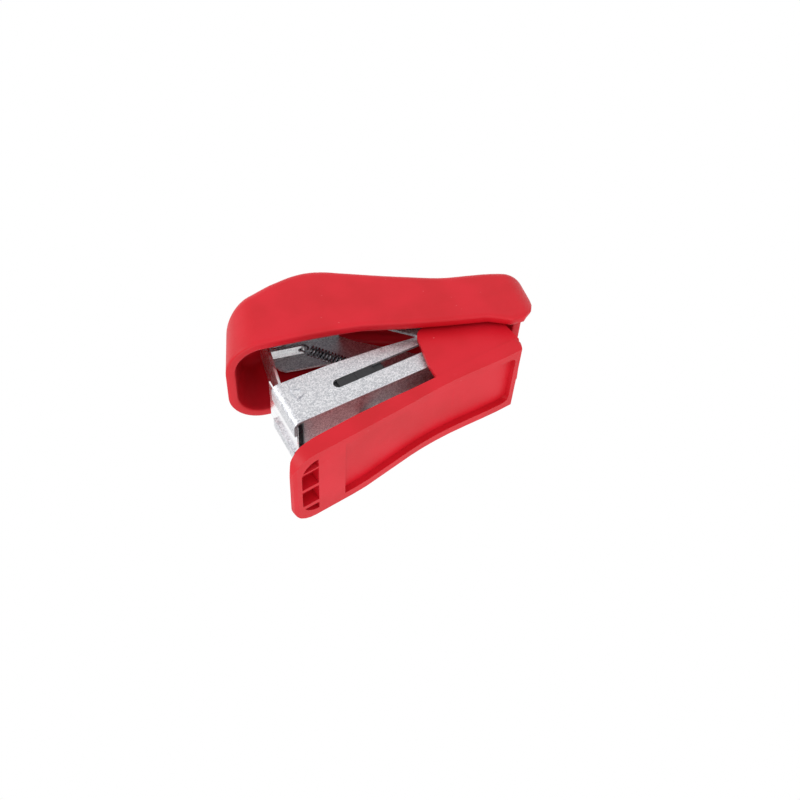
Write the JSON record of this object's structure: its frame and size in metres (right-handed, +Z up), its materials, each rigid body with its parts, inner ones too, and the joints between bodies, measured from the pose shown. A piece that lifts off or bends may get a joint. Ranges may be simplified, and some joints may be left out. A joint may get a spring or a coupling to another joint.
{
  "type": "stapler",
  "caption": "Small hand stapler: moulded base, folded steel staple channel with a sprung pusher, and a moulded handle with a driver blade, all on one hinge pin.",
  "frame": {"origin": "on the desk, under the middle of the stapler's length as it rests", "axes": "+X from the front to the rear, +Y across, +Z up"},
  "size_m": [0.0684, 0.0234, 0.0429],
  "materials": {
    "red_plastic": "moulded red plastic, satin, with faint moulding marks",
    "zinc_steel": "zinc-coated sheet steel with a fine grain",
    "bright_steel": "bright steel",
    "blackened_steel": "blackened sheet steel",
    "spring_steel": "drawn spring wire and strip",
    "black_plastic": "moulded black plastic"
  },
  "bodies": {
    "base": {"base_shell": "red_plastic", "anvil_plate": "blackened_steel", "anvil_rivets": "blackened_steel", "hinge_pin": "bright_steel", "lift_spring": "spring_steel", "lift_spring_rivet": "bright_steel"},
    "magazine": {"staple_channel": "zinc_steel", "front_plate": "zinc_steel", "staple_rail": "zinc_steel", "rail_rivets": "bright_steel", "hinge_bush": "bright_steel", "return_spring": "spring_steel"},
    "pusher": {"pusher_slide_block": "black_plastic", "pusher_spring_block": "black_plastic", "spring_post": "bright_steel"},
    "handle": {"handle_shell": "red_plastic", "hammer_frame": "zinc_steel", "driver_blade": "bright_steel", "driver_rivets": "bright_steel", "pusher_spring": "spring_steel"}
  },
  "joints": [
    {"name": "magazine_hinge", "type": "hinge", "parent": "base", "child": "magazine", "pos_m": [0.01526, 0, 0.01], "axis": [0, 1, 0], "range_deg": [-6.5, 0], "stiffness_Nm_per_rad": 0.4, "springref_deg": 8.59, "deforming": ["lift_spring"]},
    {"name": "handle_hinge", "type": "hinge", "parent": "magazine", "child": "handle", "pos_m": [0.01526, 0, 0.01], "axis": [0, 1, 0], "range_deg": [-10.8, 25], "stiffness_Nm_per_rad": 0.4, "deforming": ["return_spring", "pusher_spring"]},
    {"name": "pusher_slide", "type": "slide", "parent": "magazine", "child": "pusher", "axis": [0.9977, 0, -0.068], "range_m": [0, 0.015], "stiffness_N_per_m": 120, "springref_m": -0.012, "deforming": ["pusher_spring"]}
  ]
}
